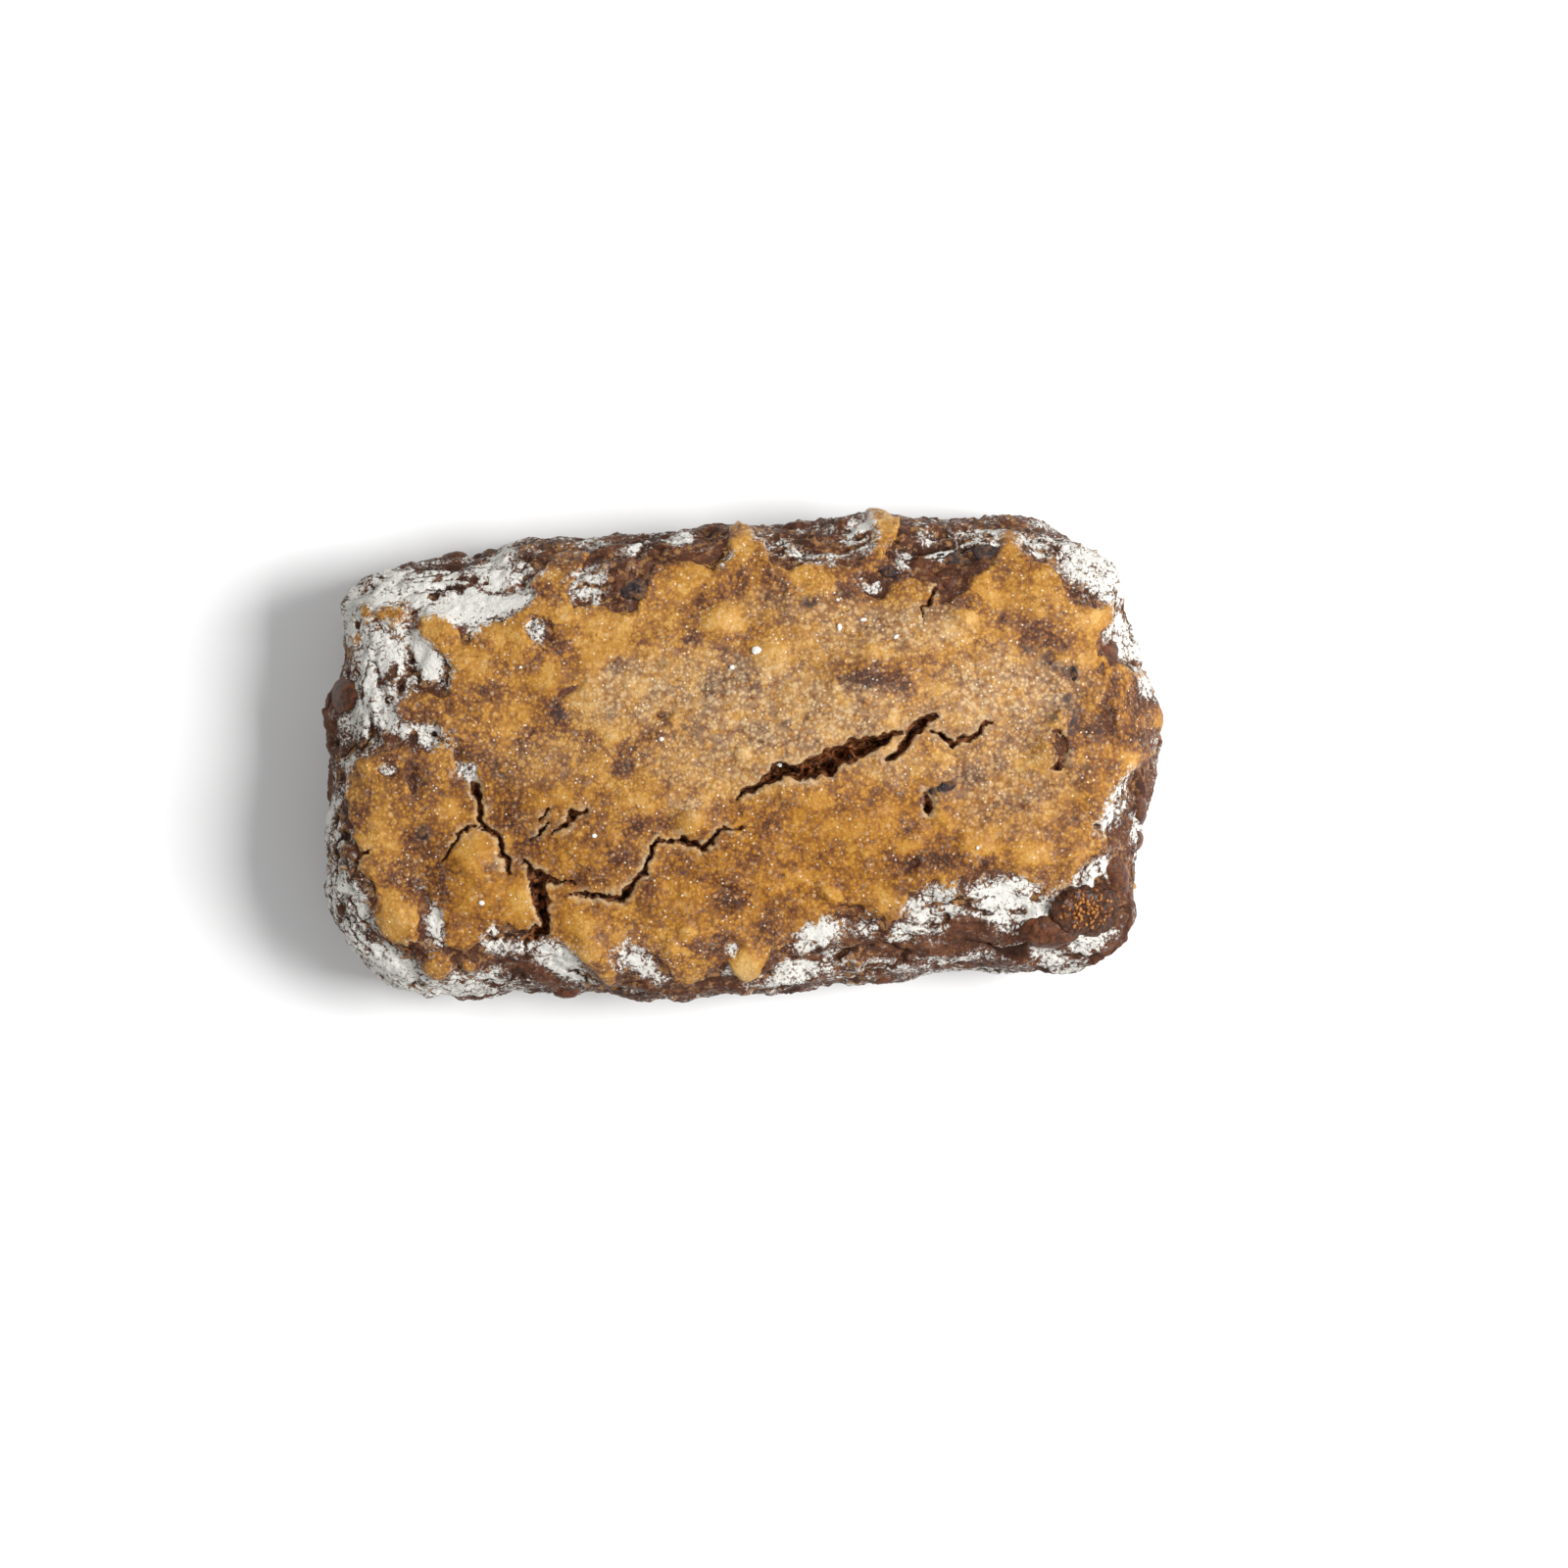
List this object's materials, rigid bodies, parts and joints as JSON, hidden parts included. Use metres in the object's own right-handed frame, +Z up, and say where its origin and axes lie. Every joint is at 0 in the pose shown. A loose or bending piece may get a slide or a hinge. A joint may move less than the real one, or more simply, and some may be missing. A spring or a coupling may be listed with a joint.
{
  "type": "fruit loaf",
  "caption": "Dense dark fruit and nut loaf, a low rounded block with a flat base and a cracked, domed, golden batter crust with floured sides.",
  "frame": {"origin": "the centre of the loaf's box, on the flat base that it rests on", "axes": "+X along the loaf's length, towards the end with the bare fig; +Y across its width; +Z up through the crust"},
  "size_m": [0.207, 0.1188, 0.053],
  "materials": {
    "batter_crust": "satin",
    "dark_dough": "matte",
    "fruit_and_nuts": "gloss"
  },
  "bodies": {
    "root": {"loaf": "batter_crust"}
  },
  "joints": []
}
